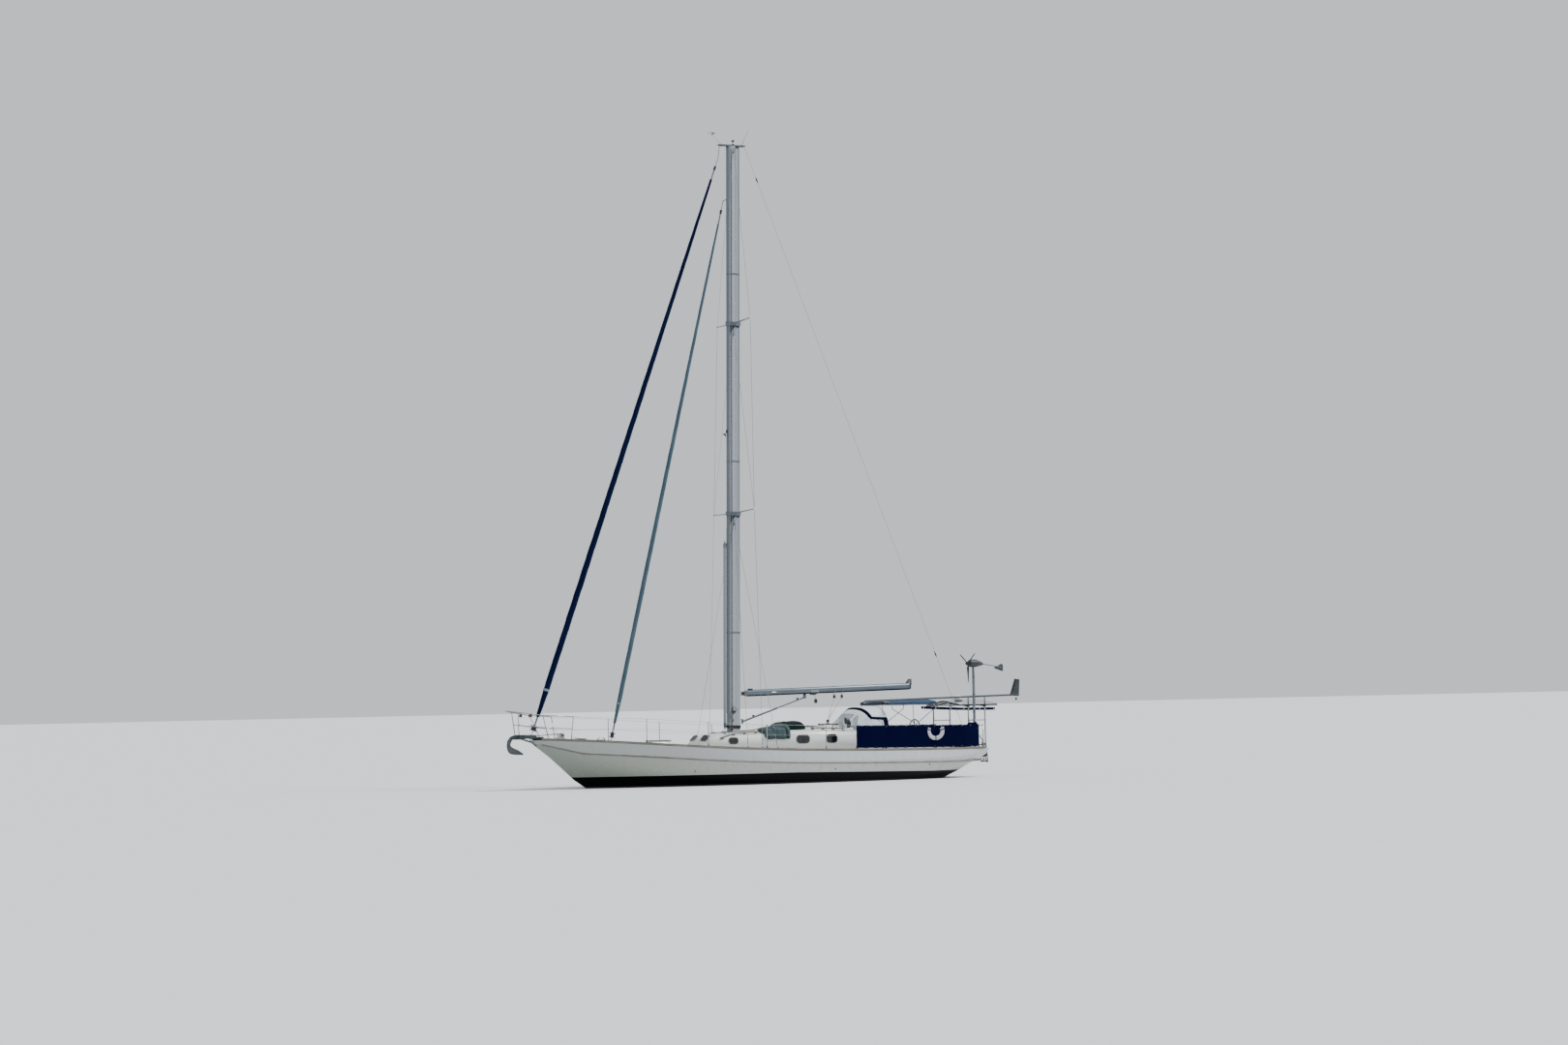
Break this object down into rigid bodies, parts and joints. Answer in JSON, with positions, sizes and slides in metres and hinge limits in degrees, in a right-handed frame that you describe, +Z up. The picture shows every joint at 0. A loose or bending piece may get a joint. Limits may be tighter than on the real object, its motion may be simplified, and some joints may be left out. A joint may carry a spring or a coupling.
{
  "type": "cutter-rigged sailing yacht",
  "caption": "Cruising sailing yacht afloat: decked hull with long fin keel and skeg rudder, trunk cabin, aft cockpit with canopy, cutter rig with furled sails, wind generator.",
  "frame": {"origin": "on the centreline at the waterline, midway along the waterline length; the boat floats there", "axes": "+X aft from bow to stern, +Y starboard, +Z up along the mast"},
  "size_m": [15.47, 4.1492, 20.8229],
  "materials": {
    "hull_gelcoat": "weathered ivory gelcoat, dark boot top and antifouling",
    "deck_gelcoat": "white gelcoat with moulded non-slip",
    "antifouling": "dull dark red-brown antifouling paint",
    "bronze": "dull manganese bronze",
    "teak": "weathered teak",
    "navy_canvas": "navy acrylic canvas",
    "grey_canvas": "grey-blue acrylic canvas",
    "pale_canvas": "pale acrylic canvas with clear panels",
    "green_cover": "dark green cover cloth",
    "stainless": "polished stainless",
    "alloy": "silver anodised, dulled",
    "galvanised": "hot dip galvanised, dark with use",
    "white_plastic": "white, slightly dulled",
    "dark_plastic": "dark grey glass-filled plastic",
    "solar_cells": "dark blue cells under glass in an aluminium frame"
  },
  "bodies": {
    "boat": {"hull": "hull_gelcoat", "keel": "antifouling", "skeg": "antifouling", "shaft_bracket": "bronze", "toe_rail_starboard": "teak", "toe_rail_port": "teak", "rub_rail_starboard": "teak", "rub_rail_port": "teak", "weather_cloth_starboard": "navy_canvas", "weather_cloth_port": "navy_canvas", "coachroof": "deck_gelcoat", "washboards": "teak", "cockpit_coaming": "deck_gelcoat", "winch_starboard": "stainless", "winch_port": "stainless", "pedestal": "white_plastic", "dodger": "pale_canvas", "bimini_canopy": "navy_canvas", "bimini_frame": "stainless", "mast": "alloy", "spreaders_lower": "alloy", "spreaders_upper": "alloy", "masthead": "alloy", "cap_shroud_starboard": "stainless", "cap_shroud_port": "stainless", "lower_shrouds_starboard": "stainless", "lower_shrouds_port": "stainless", "backstay": "stainless", "bow_platform": "stainless", "inner_stay_foot": "stainless", "anchor": "galvanised", "windlass": "white_plastic", "pulpit": "stainless", "pushpit": "stainless", "lifebuoy": "white_plastic", "stern_arch": "stainless", "solar_panel_starboard": "solar_cells", "solar_panel_port": "solar_cells", "hoist_arm": "alloy", "generator_pole": "alloy", "whisker_pole": "white_plastic", "dinghy_bag": "green_cover"},
    "rudder_blade": {"rudder": "antifouling"},
    "steering_wheel": {"wheel": "stainless"},
    "propeller_hub": {"propeller": "bronze"},
    "main_boom": {"boom": "alloy", "vang": "alloy"},
    "genoa": {"genoa_roll": "navy_canvas"},
    "staysail": {"staysail_roll": "grey_canvas"},
    "generator_nacelle": {"generator_head": "dark_plastic"},
    "generator_blades": {"generator_rotor": "dark_plastic"},
    "fore_hatch": {"fore_hatch_lid": "alloy"},
    "saloon_hatch": {"saloon_hatch_lid": "alloy"},
    "sliding_hatch": {"companionway_hatch": "deck_gelcoat"},
    "starboard_locker": {"locker_lid_starboard": "deck_gelcoat"},
    "port_locker": {"locker_lid_port": "deck_gelcoat"}
  },
  "joints": [
    {"name": "rudder_turn", "type": "hinge", "parent": "boat", "child": "rudder_blade", "pos_m": [4.985, 0, -0.26], "axis": [-0.0599, 0, 0.9982], "range_deg": [-35, 35]},
    {"name": "wheel_turn", "type": "hinge", "parent": "boat", "child": "steering_wheel", "pos_m": [4.69, 0, 1.27], "axis": [1, 0, 0], "range_deg": [-262.5, 262.5]},
    {"name": "propeller_turn", "type": "hinge", "parent": "boat", "child": "propeller_hub", "pos_m": [3.56, 0, -0.858], "axis": [0.9883, 0, -0.1524], "continuous": true},
    {"name": "boom_swing", "type": "hinge", "parent": "boat", "child": "main_boom", "pos_m": [-0.77, 0, 2.552], "axis": [0.0196, 0, 0.9998], "range_deg": [-75, 75]},
    {"name": "genoa_furl", "type": "hinge", "parent": "boat", "child": "genoa", "pos_m": [-7.092, 0, 1.64], "axis": [0.3401, 0, 0.9404], "continuous": true},
    {"name": "staysail_furl", "type": "hinge", "parent": "boat", "child": "staysail", "pos_m": [-4.772, 0, 1.395], "axis": [0.2354, 0, 0.9719], "continuous": true},
    {"name": "generator_yaw", "type": "hinge", "parent": "boat", "child": "generator_nacelle", "pos_m": [6.03, -1.205, 3.2], "axis": [0, 0, 1], "continuous": true},
    {"name": "generator_spin", "type": "hinge", "parent": "generator_nacelle", "child": "generator_blades", "pos_m": [5.84, -1.205, 3.3], "axis": [1, 0, 0], "continuous": true},
    {"name": "fore_hatch_open", "type": "hinge", "parent": "boat", "child": "fore_hatch", "pos_m": [-3.658, 0, 1.254], "axis": [0, -1, 0], "range_deg": [0, 100]},
    {"name": "saloon_hatch_open", "type": "hinge", "parent": "boat", "child": "saloon_hatch", "pos_m": [0.954, 0, 1.562], "axis": [0, -1, 0], "range_deg": [0, 85]},
    {"name": "companionway_slide", "type": "slide", "parent": "boat", "child": "sliding_hatch", "axis": [-1, 0, 0], "range_m": [0, 0.54]},
    {"name": "starboard_locker_open", "type": "hinge", "parent": "boat", "child": "starboard_locker", "pos_m": [3.575, 0.955, 0.8253], "axis": [-1, 0, 0], "range_deg": [0, 80]},
    {"name": "port_locker_open", "type": "hinge", "parent": "boat", "child": "port_locker", "pos_m": [3.575, -0.955, 0.8253], "axis": [1, 0, 0], "range_deg": [0, 80]}
  ],
  "couplings": [
    {"joint": "wheel_turn", "follows": "rudder_turn", "ratio": -7.5}
  ]
}
